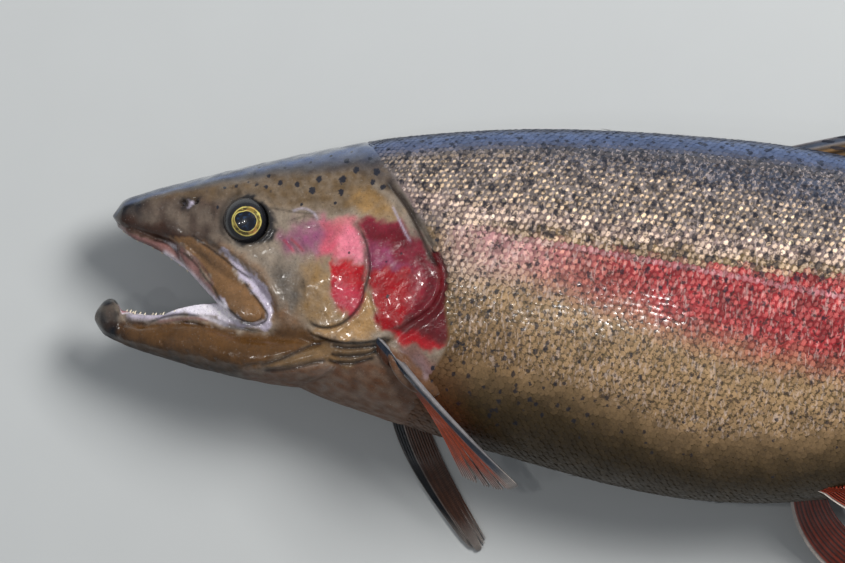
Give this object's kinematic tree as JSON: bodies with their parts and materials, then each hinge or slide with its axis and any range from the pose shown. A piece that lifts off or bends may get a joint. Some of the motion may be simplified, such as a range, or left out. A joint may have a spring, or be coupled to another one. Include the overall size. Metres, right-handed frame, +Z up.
{
  "type": "rainbow trout model",
  "caption": "Life-size model of a large male rainbow trout with hooked lower jaw, open mouth, red side band and dense dark spots, lying on its right flank.",
  "frame": {"origin": "on the floor, in the middle of the flat that the right flank rests on, under the deepest part of the body", "axes": "+X towards the tail, +Y towards the back, +Z up, out of the left flank"},
  "size_m": [0.7203, 0.2129, 0.0888],
  "materials": {
    "skin": "wet fish skin, glossy, scaled behind the head",
    "scales": "small wet overlapping scales, glossy",
    "fins": "wet rayed membrane, satin",
    "eyes": "clear glossy dome over a gold ring and a dark pupil",
    "mouth": "wet lining, pale lilac pink",
    "teeth": "small ivory points, glossy"
  },
  "bodies": {
    "root": {"head": "skin", "jaw_lower": "skin", "maxilla_left": "skin", "maxilla_right": "skin", "gill_cover_left": "skin", "gill_cover_right": "skin", "eye_left": "eyes", "eye_right": "eyes", "tongue": "mouth", "trunk_shoulder": "skin", "trunk_belly": "skin", "trunk_vent": "skin", "tail_stalk": "skin", "dorsal_fin": "fins", "adipose_fin": "fins", "anal_fin": "fins", "tail_fin": "fins", "pectoral_fin_left": "fins", "pectoral_fin_right": "fins", "pelvic_fin_left": "fins", "pelvic_fin_right": "fins"}
  },
  "joints": []
}
